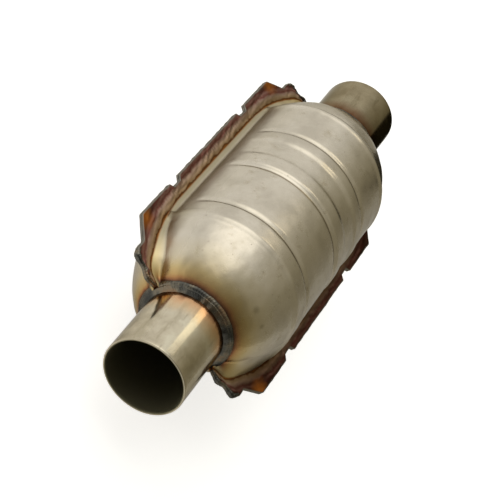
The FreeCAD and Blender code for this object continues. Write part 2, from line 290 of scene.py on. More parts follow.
def stations():
    """Stations in order, without those that stand closer than LEAST_ROW."""
    marks = np.array([distance for distance, _ in EDGE_LINE[1:]] + TOE_STATIONS)
    packed = [np.arange(first, last, 0.7) for first, last in BEADED_SPANS]
    even = np.arange(-111.6, 111.7, 2.0)
    everything = np.sort(np.concatenate([-marks, marks, even] + packed))
    keep = np.concatenate([[True], np.diff(everything) > LEAST_ROW])
    return everything[keep]


print("rows in a shell:", len(stations()))

# %% [markdown]
# ## One cut
# From the flange, the sheet turns up in a tight bend and runs along a straight foot to the round
# body. Where the foot meets the body there is a crease, sharp by the necks and soft by the barrel.
# The crease's angle round the axis is a table by the distance from mid body, and differs from left
# to right, as on the real pressing. The foot's line and the body's circle are joined by a soft step
# instead of a hard maximum, which leaves the rounded crease of pressed sheet.

# %% Cuts across the shell
# (distance from mid body, degrees round the axis from the flange)
CREASE = {
    "left": [(0, 3.0), (66, 3.0), (74, 3.4), (81, 4.6), (88, 6.6), (94, 7.8), (99, 8.0), (102, 6.4),
             (107, 4.6), (112, 4.6)],
    "right": [(0, 8.0), (66, 8.5), (76, 13.0), (80, 15.5), (85, 16.0), (91, 17.6), (99.5, 18.6),
              (108, 16.0), (112, 12.0)],
}
# (distance from mid body, rounding of the crease in mm)
CREASE_SOFTNESS = [(0, 1.7), (68, 1.4), (80, 0.3), (112, 0.28)]
# radius of the bend, least height of the foot, least width of the flange, and how fast a foot dies out
BEND, LEAST_FOOT, LEAST_FLANGE, FALL = 1.5, 0.8, 0.6, 0.15
FLAT_POINTS, BEND_POINTS, WALL_POINTS = 15, 7, 74


def side_cut(x, side):
    """Bend and wall of one side of a cut, from the root to the top of the body, as y and z grids.

    The foot is the straight line from the root to the body's circle at the crease's angle c. The
    bend is an arc of radius BEND between the flat flange and that line. The wall's radius at angle
    p is the body's radius plus s log(1 + exp(d / s)), where s is the softness and d is how far the
    line stands outside the body. Past c, d falls steadily, so that the foot dies out.
    """
    crease = np.radians(by_distance(x, CREASE[side]))[:, None]
    soft = by_distance(x, CREASE_SOFTNESS)[:, None]
    root = root_half(x)[:, None]
    x = x[:, None]
    meeting = body_radius(x, crease)
    top_y = meeting * np.cos(crease)
    top_z = np.maximum(meeting * np.sin(crease), SHEET + LEAST_FOOT)
    flare = np.arctan2(root - top_y, top_z - SHEET)
    reach = BEND * np.tan((math.pi / 2 - flare) / 2)
    turn = np.linspace(0, 1, BEND_POINTS)[None, :] * (math.pi / 2 - flare)
    bend_y = root + reach - BEND * np.sin(turn)
    bend_z = SHEET + BEND * (1 - np.cos(turn))

    first = np.arctan2(SHEET + reach * np.cos(flare), root - reach * np.sin(flare))
    # the power packs the points towards the foot
    angle = first + (math.pi / 2 - first) * np.linspace(0, 1, WALL_POINTS)[None, 1:] ** 1.25
    held = np.minimum(angle, crease)
    line = (root * top_z - SHEET * top_y) / ((root - top_y) * np.sin(held) + (top_z - SHEET) * np.cos(held))
    body = body_radius(x, angle)
    fall = np.maximum(angle - crease, 0) * body * (np.tan(np.maximum(flare - crease, 0)) + FALL)
    radius = body + soft * np.logaddexp(0, (line - body_radius(x, held) - fall) / soft)
    return np.hstack([bend_y, radius * np.cos(angle)]), np.hstack([bend_z, radius * np.sin(angle)])


def cut_lines(x, side, seed):
    """Flange, bend and wall of one side as y and z grids, and the tab's edge as a column."""
    rise_y, rise_z = side_cut(x, side)
    root = rise_y[:, :1]
    edge = np.maximum(tab_edge(x, seed)[:, None], root + LEAST_FLANGE)
    flat_y = edge + (root - edge) * np.linspace(0, 1, FLAT_POINTS)[None, :-1]
    flat_z = np.full(flat_y.shape, SHEET)
    return np.hstack([flat_y, rise_y]), np.hstack([flat_z, rise_z]), edge


print("points from a tab's edge to the top:", cut_lines(stations(), "left", 0)[0].shape[1])

# %% [markdown]
# ## A half shell
# The cuts of both sides make one grid, the outside of the sheet. The inside could come from a
# Solidify modifier, but it has to lie flat on the other shell, so it is the same grid pushed in by
# one thickness along its normals and held at the joint. A pressing also has shallow dents and waves,
# which move the grid along its normals and are strongest on the domes.

# %% Outside and inside of the sheet
# how far the toes run on, and the stations between which they start to
TOE_LENGTH, TOE_FROM = 0.8, 110.6
# (depth, length) of dents in mm, their share on the barrel, and where that rises to the domes' 1
DENTS = ((0.10, 26), (0.05, 9))
BARREL_SHARE, SHARE_FROM, SHARE_TO = 0.35, 60.0, 80.0
# distances from the root, in mm, between which the sheet becomes flat
FLAT_FROM, FLAT_TO = -1.0, 2.0


def shell_skin(seed):
    """Grid of the cuts, how flat it is, and its distances from the root and from the tab's edge."""
    x = stations()
    left_y, left_z, left_edge = cut_lines(x, "left", seed)
    right_y, right_z, right_edge = cut_lines(x, "right", seed + 1)
    y = np.hstack([left_y, -right_y[:, -2::-1]])
    z = np.hstack([left_z, right_z[:, -2::-1]])
    from_root = np.abs(y) - root_half(x)[:, None]
    from_edge = np.where(y > 0, left_edge, right_edge) - np.abs(y)
    flat = smooth_step(from_root, FLAT_FROM, FLAT_TO)
    along = np.repeat(x[:, None], y.shape[1], axis=1)
    # the toes of the flange run on beside the neck
    along = along + np.sign(along) * TOE_LENGTH * smooth_step(np.abs(along), TOE_FROM, NECK_EDGE) * flat
    return np.stack([along, y, z], -1), flat, from_root, from_edge


def surface_normals(points):
    """Unit cross product of the two directions of a grid, turned to point away from the axis."""
    normal = np.cross(np.gradient(points, axis=1), np.gradient(points, axis=0))
    normal /= np.maximum(np.linalg.norm(normal, axis=-1, keepdims=True), 1e-9)
    middle = normal[points.shape[0] // 2, points.shape[1] // 2]
    return normal if middle[2] > 0 else -normal


def sheet_sides(skin, flat, seed):
    """Outside = skin + dents * normal, and inside = outside - SHEET * normal, 0 high on the flange."""
    along, y, z = np.moveaxis(skin, -1, 0)
    depth = BARREL_SHARE + (1 - BARREL_SHARE) * smooth_step(np.abs(along), SHARE_FROM, SHARE_TO)
    dents = mixed_waves(seed + 5, DENTS, along, y, z)
    normal = surface_normals(skin)
    outside = skin + normal * (depth * dents * (1 - flat))[..., None]
    inside = outside - normal * SHEET
    inside[..., 2] = np.where(flat > 0.5, 0.0, np.maximum(inside[..., 2], 0.0))
    return np.stack([outside, inside])


print("points on each side of the sheet:", shell_skin(0)[1].size)

# %% [markdown]
# The resistance seam marks the flanges. Two electrode wheels squeeze a track between the root and
# the edge, with a ripple for each weld nugget, and crumple the sheet beside it. The heat then warps
# the flanges, both shells together. The tint needs to know how far each point is from the welds, so
# these distances are stored as layers of the mesh.

# %% Marks of the seam, and distances for the tint
# the track's distance from the edge, half width and depth, and the length of a nugget
TRACK_IN, TRACK_HALF, TRACK_DEPTH, NUGGET = 4.2, 1.9, 0.38, 2.6
# depth of a nugget's ripple, and the height, length and stretch across the flange of the crumples
NUGGET_DEPTH, CRUMPLE, CRUMPLE_LENGTH, CRUMPLE_STRETCH = 0.10, 0.16, 7, 2.2
# (height, length) of the warp in mm, and its seed, which both shells share
WARP, WARP_SEED = ((0.30, 34), (0.12, 11)), 71
# where the neck weld ends on the dome: short of the neck's edge, and from the axis
WELD_WIDTH, WELD_RADIUS = 3.6, 30.6
# shifts of the distances at the outlet, and how far a way up the dome counts against one along X
HOT_OUTLET, NO_RUST, UP_SHARE = 7.0, 20.0, 0.75


def seam_marks(both, skin, from_root, from_edge, up, seed):
    """Adds to the heights of both sides of the sheet what the seam did to the flange.

    The outside sinks by depth * exp(-((s - TRACK_IN) / TRACK_HALF)^2) at distance s from the edge.
    Both sides crumple by short waves and warp by long ones, which depend on the place alone.
    """
    along, y = skin[..., 0], skin[..., 1]
    track = np.exp(-(((from_edge - TRACK_IN) / TRACK_HALF) ** 2)) * (from_root > 1.5)
    depth = TRACK_DEPTH + NUGGET_DEPTH * np.sin(2 * math.pi * along / NUGGET)
    both[0][..., 2] -= up * depth * track
    crumple = CRUMPLE * waves(seed + 9, along, np.abs(y) * CRUMPLE_STRETCH, scale=CRUMPLE_LENGTH)
    both[..., 2] += crumple * smooth_step(from_root, 1.0, 3.0) * smooth_step(from_edge, 0.3, 1.5)
    warp = mixed_waves(WARP_SEED, WARP, both[0][..., 0], both[0][..., 1])
    both[..., 2] += warp * smooth_step(from_root, 0.5, 6.0)


def tint_layers(both, from_root, from_edge):
    """Distances in millimetres that the tint follows, for each point of both sides."""
    x, y, z = np.moveaxis(both, -1, 0)
    from_corner = np.hypot(np.abs(x) - TAB_CORNER[0], np.abs(y) - TAB_CORNER[1])
    # the right corner at the outlet hasn't rusted
    from_corner += NO_RUST * ((x > 0) & (y < 0))
    # along X from the weld, and then part of the way up the dome
    up_dome = np.maximum(np.hypot(y, z) - WELD_RADIUS, 0)
    from_weld = (NECK_EDGE - WELD_WIDTH - np.abs(x)) + UP_SHARE * up_dome
    # the outlet's weld was run hotter, so its tint reaches further up the dome
    from_weld = from_weld - HOT_OUTLET * (x > 0)
    return {"from_root": np.stack([from_root] * 2), "from_edge": np.stack([from_edge] * 2),
            "from_weld": from_weld, "from_corner": from_corner}


print("track", TRACK_DEPTH, "mm deep,", TRACK_IN, "mm in from the edge, a nugget each", NUGGET, "mm")

# %% [markdown]
# A rim of quads joins the borders of the two sides, so each shell is one closed solid sheet. The
# lower shell is the same pressing turned half a turn about the pipes' axis, with its own dents.

# %% Half shells
def sheet_faces(rows, columns):
    """Quads of two grids, outside then inside, and of the rim between their borders."""
    quads = grid_faces(rows, columns)
    count = rows * columns
    border = np.concatenate([
        np.arange(columns), np.arange(1, rows) * columns + columns - 1,
        (rows - 1) * columns + np.arange(columns - 2, -1, -1), np.arange(rows - 2, 0, -1) * columns,
    ])
    after = np.roll(border, -1)
    rim = np.stack([border + count, after + count, after, border], -1)
    return np.concatenate([quads[:, ::-1], quads + count, rim])


def half_shell(name, turned, seed):
    """One closed half shell: its two sides, turned below if asked, then marked by the seam."""
    skin, flat, from_root, from_edge = shell_skin(seed)
    both = sheet_sides(skin, flat, seed)
    if turned:
        both = both * np.array([1.0, -1.0, -1.0])
    seam_marks(both, skin, from_root, from_edge, -1 if turned else 1, seed)
    return make_mesh(name, both, sheet_faces(*flat.shape), tint_layers(both, from_root, from_edge))


upper = half_shell("upper_half_shell", False, 11)
lower = half_shell("lower_half_shell", True, 31)

# %% [markdown]
# ## Neck welds
# The welder lays a fillet bead around the pipe, one puddle after another. Each puddle freezes into
# a crescent, so the bead is a ring whose section bulges, with crescents 1.65 mm apart on it. The
# crescents are a sawtooth whose phase bends with the distance from the bead's middle. A bump texture
# would be lighter, but the crescents break the bead's outline and its glints, so they are geometry.

# %% Neck weld beads
# radius at which lengths along the bead are measured, and the length of a puddle
WELD_CIRCLE, PUDDLE = 28.0, 1.65
DOME_TOE, DOME_TOE_RADIUS = 108.9, 30.2
# (station, radius) of the bead's hidden back
BACK = [(DOME_TOE, 26.0), (113.9, PIPE - 0.6)]
# how deep the toes sink into the pipe and into the dome
SINK, DOME_SINK = 0.2, 0.3
# (size, length) of the bead's wander in mm
WOBBLE = ((0.35, 17), (0.25, 7))
# how far a crescent bends back at its ends, and its height
CRESCENT_BEND, CRESCENT_HEIGHT = 2.2, 0.22
# the valley's place and half width as shares of the way across, and its depth
VALLEY_AT, VALLEY_HALF, VALLEY_DEPTH = 0.42, 0.05, 0.38


def turned_points(station, radius, turn, end):
    """Points (x, r cos t, r sin t) about the pipes' axis, turned half a turn about Z for end -1."""
    grids = np.broadcast_arrays(station, radius * np.cos(turn), radius * np.sin(turn))
    return np.stack(grids, -1) * np.array([end, end, 1])


def neck_bead(name, end, pipe_toe, swell, seed):
    """Ring bead on one neck.

    From the pipe's toe at u = 0 to the dome's toe at u = 1, the radius is a straight line plus swell
    times sin(pi u)^0.8, plus the crescents' sawtooth, less a narrow valley where two passes meet.
    """
    turns, parts = 760, 34
    turn = np.linspace(0, 2 * math.pi, turns, endpoint=False)[None, :]
    across = np.linspace(0, 1, parts)[:, None]
    run = turn * WELD_CIRCLE
    wobble = mixed_waves(seed, WOBBLE, run)
    toe = pipe_toe + 0.4 * wobble
    station = toe + (DOME_TOE - 0.3 * waves(seed + 2, run, scale=15) - toe) * across
    bulge = np.sin(math.pi * across) ** 0.8
    radius = (PIPE - SINK) + (DOME_TOE_RADIUS - PIPE) * across + (swell + 0.22 * wobble) * bulge
    # the dome's toe stays on the dome
    dome = np.maximum(dome_height(np.minimum(station, NECK_EDGE)), PIPE)
    dome = np.where(station > NECK_EDGE, PIPE - SINK, dome)
    radius = np.maximum(radius, np.where(across > 0.9, dome - DOME_SINK, 0))
    crescents = (run + CRESCENT_BEND * (2 * across - 1) ** 2 + 0.5 * wobble) / PUDDLE
    ripple = CRESCENT_HEIGHT * (1 - (crescents % 1.0)) * bulge
    valley = VALLEY_DEPTH * np.exp(-(((across - VALLEY_AT - 0.04 * wobble) / VALLEY_HALF) ** 2))
    front = turned_points(station, radius + ripple - valley, turn, end)
    back = turned_points(*np.array(BACK).T[..., None], turn, end)
    faces = grid_faces(parts + len(BACK), turns, round_columns=True, round_rows=True)
    return make_mesh(name, np.concatenate([front, back]), faces)


inlet_ring = neck_bead("inlet_neck_weld", -1, 113.5, 1.6, 3)
outlet_ring = neck_bead("outlet_neck_weld", 1, 116.4, 2.9, 4)

# %% [markdown]
# ## End beads
# At each end of a flange the rolled seam can't reach round the corner, so a bead is run by hand
# along the sheets' edges from the outer tab to the neck. It is a tube carried along that path, and
# its radius wanders and swells into lumps where the torch paused. Both ends run out to a point.

# %% End beads
# (distance from mid body, half width, radius)
END_PATH = np.array([
    (101.5, 52.2, 0.8), (104.6, 51.8, 1.4), (107.6, 51.5, 1.8), (109.7, 50.3, 2.2),
    (110.4, 48.3, 2.0), (110.5, 45.6, 1.6), (110.6, 42.9, 1.5), (111.7, 40.6, 1.6),
    (113.5, 37.4, 1.9), (113.3, 34.6, 1.7), (112.8, 31.8, 1.5), (112.0, 29.2, 1.2),
])
# length of a bead and of its ripples, and the number of points in the running mean
END_LENGTH, END_RIPPLE, MEAN_OVER = 42.0, 1.9, 9
# height of lumps, as a share of the radius, and of ripples in mm; share of the path that runs to a point
LUMP, RIPPLE, POINTED = 0.09, 0.06, 0.03
# the section is pressed narrower and stands taller than round
NARROW, TALL = 0.8, 1.08


def running_mean(values):
    """The mean of MEAN_OVER neighbours, with the end values held past the ends."""
    padded = np.pad(values, MEAN_OVER // 2, mode="edge")
    return np.convolve(padded, np.ones(MEAN_OVER) / MEAN_OVER, mode="valid")


def end_bead(name, mirror_x, mirror_y, seed):
    """Tube round a smooth path: centre(s) + r(s, t) (NARROW cos t normal + TALL sin t up)."""
    count, around = 150, 28
    s = np.linspace(0, 1, count)
    knots = np.linspace(0, 1, len(END_PATH))
    path = [running_mean(np.interp(s, knots, column)) for column in END_PATH.T]
    centre, size = np.stack(path[:2], -1), path[2]
    direction = np.gradient(centre, axis=0)
    direction /= np.linalg.norm(direction, axis=1, keepdims=True)
    normal = np.stack([direction[:, 1], -direction[:, 0]], -1)
    turn = np.linspace(0, 2 * math.pi, around, endpoint=False)[None, :]
    run = s[:, None] * END_LENGTH
    lump = LUMP * waves(seed, run, 3 * np.cos(turn), 3 * np.sin(turn), scale=5)
    ripple = RIPPLE * np.sin(run * 2 * math.pi / END_RIPPLE + 1.2 * np.cos(turn))
    ends = np.sqrt(np.clip(np.minimum(s, 1 - s) / POINTED, 0.0, 1))[:, None]
    radius = size[:, None] * (1 + lump) * ends + ripple * ends
    x, y = [centre[:, k, None] + radius * np.cos(turn) * normal[:, k, None] * NARROW for k in (0, 1)]
    points = np.stack([x * mirror_x, y * mirror_y, TALL * radius * np.sin(turn)], -1)
    faces = grid_faces(count, around, round_columns=True)
    # a shape mirrored once is inside out, so its faces are turned round
    if mirror_x * mirror_y < 0:
        faces = faces[:, ::-1]
    return close_poles(make_mesh(name, points, faces))


end_beads = {
    place: end_bead(place + "_end_bead", mirror_x, mirror_y, seed)
    for place, mirror_x, mirror_y, seed in (
        ("inlet_left", -1, 1, 40), ("inlet_right", -1, -1, 41),
        ("outlet_left", 1, 1, 42), ("outlet_right", 1, -1, 43))
}

# %% [markdown]
# ## Pipes
# A stub is a length of drawn tube, sawn square. Its section is turned about the axis, with the rims
# slightly rounded by the deburring, and the wall has the shallow flats that handling leaves.

# %% Pipes
# the rim's rounding, and its middle point in from the wall and from the end
RIM, EASE, EASE_LENGTH = 0.35, 0.12, 0.15
# depth and length of the flats, and the radius at which they are worked out
FLAT_DEPTH, FLAT_LENGTH, FLAT_RADIUS = 0.05, 24, 26


def pipe_stub(name, end, seed):
    """Closed section (outside, inner rim, bore, mouth rim) turned about X, plus the shallow flats."""
    turns = 200
    middle = (PIPE + BORE) / 2
    stretch = np.linspace(MOUTH - 0.6, PIPE_INNER_END + 0.5, 40)
    outside = [(station, PIPE) for station in stretch]
    bore = [(station, BORE) for station in stretch[::-1]]
    mouth = [(MOUTH - EASE_LENGTH, BORE + EASE), (MOUTH, BORE + RIM), (MOUTH, middle), (MOUTH, PIPE - RIM),
             (MOUTH - EASE_LENGTH, PIPE - EASE)]
    inner = [(PIPE_INNER_END, PIPE - RIM), (PIPE_INNER_END, middle), (PIPE_INNER_END, BORE + RIM)]
    section = np.array(outside + inner + bore + mouth)
    station, radius = section[:, :1], section[:, 1:]
    turn = np.linspace(0, 2 * math.pi, turns, endpoint=False)[None, :]
    round_y, round_z = FLAT_RADIUS * np.cos(turn), FLAT_RADIUS * np.sin(turn)
    flats = FLAT_DEPTH * waves(seed, station, round_y, round_z, scale=FLAT_LENGTH)
    points = turned_points(station, radius + flats, turn, end)
    return make_mesh(name, points, grid_faces(len(section), turns, round_columns=True, round_rows=True))


inlet_stub = pipe_stub("inlet_stub", -1, 7)
outlet_stub = pipe_stub("outlet_stub", 1, 8)

# %% [markdown]
# ## Materials
# Colours are written as sRGB hex and turned to linear by one function, because shaders work in
# linear light. One small function adds a node with its settings and links. Patterns read object
# coordinates, which are metres, so a pattern s millimetres wide has the scale 1 / (s * MM).

# %% Material tools
def linear(code):
    """sRGB hex to linear RGBA: ((c + 0.055) / 1.055) ^ 2.4 above 0.04045, else c / 12.92."""
    channels = [int(code[i:i + 2], 16) / 255 for i in (0, 2, 4)]
    return [c / 12.92 if c <= 0.04045 else ((c + 0.055) / 1.055) ** 2.4 for c in channels] + [1.0]


def add(tree, kind, settings=None, **links):
    """A node of that kind. Settings are attributes, a ramp's stops, or values of input sockets, by name
    or number and with colours in hex. Links name an input, as _n by number, and give a node or socket."""
    node = tree.nodes.new(kind)
    for key, value in (settings or {}).items():
        if key == "stops":
            band = node.color_ramp.elements
            for spot, _ in value[2:]:
                band.new(spot)
            for element, (spot, code) in zip(band, value):
                element.position, element.color = spot, linear(code)
        elif isinstance(key, str) and hasattr(node, key):
            setattr(node, key, value)
        else:
            node.inputs[key].default_value = linear(value) if isinstance(value, str) else value
    for key, source in links.items():
        socket = node.inputs[int(key[1:])] if key[0] == "_" else node.inputs[key]
        if isinstance(source, bpy.types.Node):
            source = next(output for output in source.outputs if output.enabled)
        tree.links.new(source, socket)
    return node


def empty_material(name):
    """A material without nodes, and its node tree."""
    material = bpy.data.materials.new(name)
    material.use_nodes = True
    material.node_tree.nodes.clear()
    return material, material.node_tree


RAMP, RANGE, NOISE = "ShaderNodeValToRGB", "ShaderNodeMapRange", "ShaderNodeTexNoise"
MATH, VECTOR, AXES = "ShaderNodeMath", "ShaderNodeVectorMath", "ShaderNodeSeparateXYZ"
COORDINATES, SPREAD, BUMP = "ShaderNodeTexCoord", "ShaderNodeMapping", "ShaderNodeBump"
SHADER, OUTPUT = "ShaderNodeBsdfPrincipled", "ShaderNodeOutputMaterial"
# a colour mix takes the share at input 0, and its two colours at inputs 6 and 7
MIX, PAINT, TIMES = "ShaderNodeMix", {"data_type": "RGBA"}, {"data_type": "RGBA", "blend_type": "MULTIPLY"}
# towards grazing angles steel darkens to this grey, where the shader by itself would turn it white
EDGE_TINT = {"Specular Tint": "c4c1ba"}
STEEL = EDGE_TINT | {"Metallic": 1.0}
print("steel at grazing angles, in linear light:", [round(c, 3) for c in linear(EDGE_TINT["Specular Tint"])])

# %% [markdown]
# ### Pressed stainless sheet
# The shells are cold rolled 409 stainless with a dull mill finish: a warm grey metal of medium
# roughness, with dull smears, pits, and two burnt drops of spatter on the upper shell's dome. Noise
# of three sizes, from clouds 22 mm across to specks of 1.6 mm, sets where each colour shows.

# %% Bare sheet
# place in metres and radius in millimetres
SPATTER = (((-0.0965, -0.011, 0.039), 3.0), ((-0.0955, -0.022, 0.035), 2.2))


def bare_sheet(tree, place, cloud, blotch):
    """Colour of the sheet before welding."""
    speck = add(tree, NOISE, {"Scale": 1 / (1.6 * MM), "Detail": 2.0, "Roughness": 0.5}, Vector=place)
    clean = add(tree, RAMP, {"stops": [(0.36, "bcb4a5"), (0.50, "c7bfb0"), (0.66, "cec6b8")]}, _0=cloud)
    dull = add(tree, RANGE, {"From Min": 0.58, "From Max": 0.74, "To Max": 0.55}, Value=blotch)
    base = add(tree, MIX, PAINT | {7: "a89d86"}, _0=dull, _6=clean)
    pits = add(tree, RANGE, {"From Min": 0.71, "From Max": 0.78, "To Max": 0.6}, Value=speck)
    base = add(tree, MIX, PAINT | {7: "6f6656"}, _0=pits, _6=base)
    for spot, radius in SPATTER:
        far = add(tree, VECTOR, {"operation": "DISTANCE", 1: spot}, _0=place).outputs["Value"]
        drop = add(tree, RANGE, {"From Min": radius * MM, "From Max": 0.3 * radius * MM, "To Max": 0.45},
                   Value=far)
        base = add(tree, MIX, PAINT | {7: "5a5344"}, _0=drop, _6=base)
    return base


print("drops of spatter:", len(SPATTER))

# %% [markdown]
# Welding heat leaves a skin of oxide that runs from straw through orange and brown to purple with
# rising temperature. So the tint follows the distance from the weld, and the clouds break its bands
# up, because the heat doesn't leave evenly. Up the foot, beside the rolled seam, it is straw.

# %% Heat tint by the neck and up the foot
# distances in mm between which the heat died out, and (share of that stretch, colour of the oxide) and
# (share, how much of it shows)
NECK_FROM, NECK_TO = 3.0, 39.0
NECK_OXIDE = [(0.0, "64493a"), (0.03, "885c3f"), (0.07, "a8794a"), (0.14, "b8965a"), (0.30, "c2a96c"),
              (0.6, "c8b78a")]
NECK_SHOWS = [(0.0, "ffffff"), (0.26, "e6e6e6"), (0.55, "a0a0a0"), (0.98, "000000")]


def neck_tint(tree, base, cloud, weld, root):
    """The colour mixed with brown to straw by distance from the weld, and with straw up the foot."""
    shift = add(tree, MATH, {"operation": "MULTIPLY_ADD", 1: 7.0}, _0=cloud, _2=weld)
    heat = add(tree, RANGE, {"From Min": NECK_FROM, "From Max": NECK_TO}, Value=shift)
    tint = add(tree, RAMP, {"stops": NECK_OXIDE}, _0=heat)
    near = add(tree, RAMP, {"stops": NECK_SHOWS}, _0=heat)
    base = add(tree, MIX, PAINT, _0=near, _6=base, _7=tint)
    beside = add(tree, RANGE, {"From Min": -6.0, "From Max": -2.0, "To Max": 0.75}, Value=root)
    far = add(tree, RANGE, {"From Min": 20.0, "From Max": 40.0}, Value=weld)
    straw = add(tree, MIX, PAINT | {6: "cdbb8c", 7: "93886a"}, _0=far)
    return add(tree, MIX, PAINT, _0=beside, _6=base, _7=straw)


print("colours of oxide by the neck:", len(NECK_OXIDE), "over", NECK_TO - NECK_FROM, "mm")

# %% [markdown]
# The flanges had the rolled seam on them, so they are tinted right across, brown by the root and
# maroon by the edge. The right flange, towards -Y, is darkened with painted shade; rust has started
# at the torn tab corners, and the sheared edge is bare metal.

# %% Tint of the flange
# distances from the root in mm, and (share of the stretch between them, colour)
BAND_FROM, BAND_TO = 2.2, 14.0
BAND_COLOURS = [(0.0, "8a5a2c"), (0.08, "5c381e"), (0.16, "977d5e"), (0.32, "a68e78"), (0.46, "9a8073"),
                (0.60, "734840"), (0.74, "8a6860"), (0.88, "633a34"), (1.0, "594239")]


def flange_tint(tree, base, place, blotch, root, edge, corner):
    """The colour with the flange's bands, painted shade on the right flange, rust and bare edge laid over it.
    """
    wave = add(tree, MATH, {"operation": "MULTIPLY_ADD", 1: 5.0}, _0=blotch, _2=root)
    band = add(tree, RANGE, {"From Min": BAND_FROM, "From Max": BAND_TO}, Value=wave)
    flange = add(tree, RAMP, {"stops": BAND_COLOURS}, _0=band)
    side = add(tree, AXES, _0=place).outputs[1]
    # painted shade: the right flange, towards -Y, is darkened as if it lay in shade
    right_flange_shade = add(tree, RANGE, {"From Min": -0.040, "From Max": -0.054, "To Max": 0.85}, Value=side)
    flange = add(tree, MIX, TIMES | {7: "8c7a6c"}, _0=right_flange_shade, _6=flange)
    torn = add(tree, MATH, {"operation": "MULTIPLY_ADD", 1: -5.0}, _0=blotch, _2=corner)
    rust = add(tree, RANGE, {"From Min": 7.5, "From Max": 0.5, "To Max": 0.95}, Value=torn)
    flange = add(tree, MIX, PAINT | {7: "a3622a"}, _0=rust, _6=flange)
    on_flange = add(tree, RANGE, {"From Min": -0.9, "From Max": 0.0}, Value=root)
    base = add(tree, MIX, PAINT, _0=on_flange, _6=base, _7=flange)
    rim = add(tree, RANGE, {"From Min": 0.9, "From Max": 0.2}, Value=edge)
    return add(tree, MIX, PAINT | {7: "7d786f"}, _0=rim, _6=base)


print("colours across the flange:", len(BAND_COLOURS), "over", round(BAND_TO - BAND_FROM, 1), "mm")

# %% [markdown]
# The rolling grain runs along the body. It is drawn 0.9 mm wide, coarser than the real one, so that
# it shows. Smears and the oxide by the flanges are rougher than the clean sheet.

# %% Pressed sheet
def sheet_metal(name):
    """Steel with rolling grain, stains, heat tint by the welds, and painted shade on the right flange."""
    material, tree = empty_material(name)
    place = add(tree, COORDINATES).outputs["Object"]
    weld, root, edge, corner = [
        add(tree, "ShaderNodeAttribute", {"attribute_name": title}).outputs["Fac"]
        for title in ("from_weld", "from_root", "from_edge", "from_corner")]
    cloud = add(tree, NOISE, {"Scale": 1 / (22 * MM), "Detail": 5.0, "Roughness": 0.6}, Vector=place)
    blotch = add(tree, NOISE, {"Scale": 1 / (7 * MM), "Detail": 4.0, "Roughness": 0.65}, Vector=place)
    base = bare_sheet(tree, place, cloud, blotch)
    base = neck_tint(tree, base, cloud, weld, root)
    base = flange_tint(tree, base, place, blotch, root, edge, corner)
    shine = add(tree, RANGE, {"To Min": 0.17, "To Max": 0.33}, Value=blotch)
    dulled = add(tree, RANGE, {"From Min": -16.0, "From Max": -4.0, "To Max": 0.42}, Value=root)
    rough = add(tree, MATH, {"operation": "MAXIMUM"}, _0=shine, _1=dulled)
    rolled = add(tree, SPREAD, {"Scale": (0.12, 1.0, 1.0)}, Vector=place)
    grain = add(tree, NOISE, {"Scale": 1 / (0.9 * MM), "Detail": 3.0, "Roughness": 0.6}, Vector=rolled)
    bump = add(tree, BUMP, {"Strength": 0.18, "Distance": 0.12 * MM}, Height=grain)
    surface = add(tree, SHADER, STEEL, _0=base, Roughness=rough, Normal=bump)
    add(tree, OUTPUT, Surface=surface)
    return material


pressed_sheet = sheet_metal("Pressed stainless sheet")
print("material:", pressed_sheet.name, "with", len(pressed_sheet.node_tree.nodes), "nodes")

# %% [markdown]
# ### Drawn tube
# The pipes are brighter than the sheet, with fine lines along the tube from the drawing die, and
# their own heat tint beside the weld: brown, then, on the inlet, a peach band with ragged tongues.
# The outlet's band is weak, and it has a burnt brown collar beside its weld instead.

# %% Heat tint of the tube
# distances from mid body in mm, of the tint and of the outlet's collar, and (share of the tint's
# stretch, colour of the oxide) and (share, how much of it shows)
WARM_FROM, WARM_TO, COLLAR_FROM, COLLAR_TO = 118.5, 141, 126, 138
TUBE_OXIDE = [(0.0, "6a4e3e"), (0.08, "9a6c4c"), (0.22, "d4a274"), (0.5, "d8b486"), (0.8, "c6bca8")]
TUBE_SHOWS = [(0.0, "ffffff"), (0.45, "b8b8b8"), (1.0, "000000")]


def tube_tint(tree, base, along, streak):
    """The colour with the heat tint laid over it by distance from mid body, ragged by the streaks."""
    reach = add(tree, MATH, {"operation": "ABSOLUTE"}, _0=along)
    heat = add(tree, MATH, {"operation": "MULTIPLY_ADD", 1: 10 * MM}, _0=streak, _2=reach)
    warm = add(tree, RANGE, {"From Min": WARM_FROM * MM, "From Max": WARM_TO * MM}, Value=heat)
    tint = add(tree, RAMP, {"stops": TUBE_OXIDE}, _0=warm)
    near = add(tree, RAMP, {"stops": TUBE_SHOWS}, _0=warm)
    outlet = add(tree, RANGE, {"From Min": 0.0, "From Max": 1 * MM}, Value=along)
    near = add(tree, MIX, TIMES | {7: "808080"}, _0=outlet, _6=near)
    base = add(tree, MIX, PAINT, _0=near, _6=base, _7=tint)
    burnt = add(tree, RANGE, {"From Min": COLLAR_TO * MM, "From Max": COLLAR_FROM * MM, "To Max": 0.9},
                Value=heat)
    burnt = add(tree, MATH, {"operation": "MULTIPLY"}, _0=burnt, _1=outlet)
    return add(tree, MIX, PAINT | {7: "5c3c28"}, _0=burnt, _6=base)


print("colours of oxide on the tube:", len(TUBE_OXIDE), "over", WARM_TO - WARM_FROM, "mm")

# %% [markdown]
# The die's lines are a noise stretched along X, drawn 0.8 mm wide so that they show. Smoke has
# greyed the outlet, and the bores have a matt film of soot.

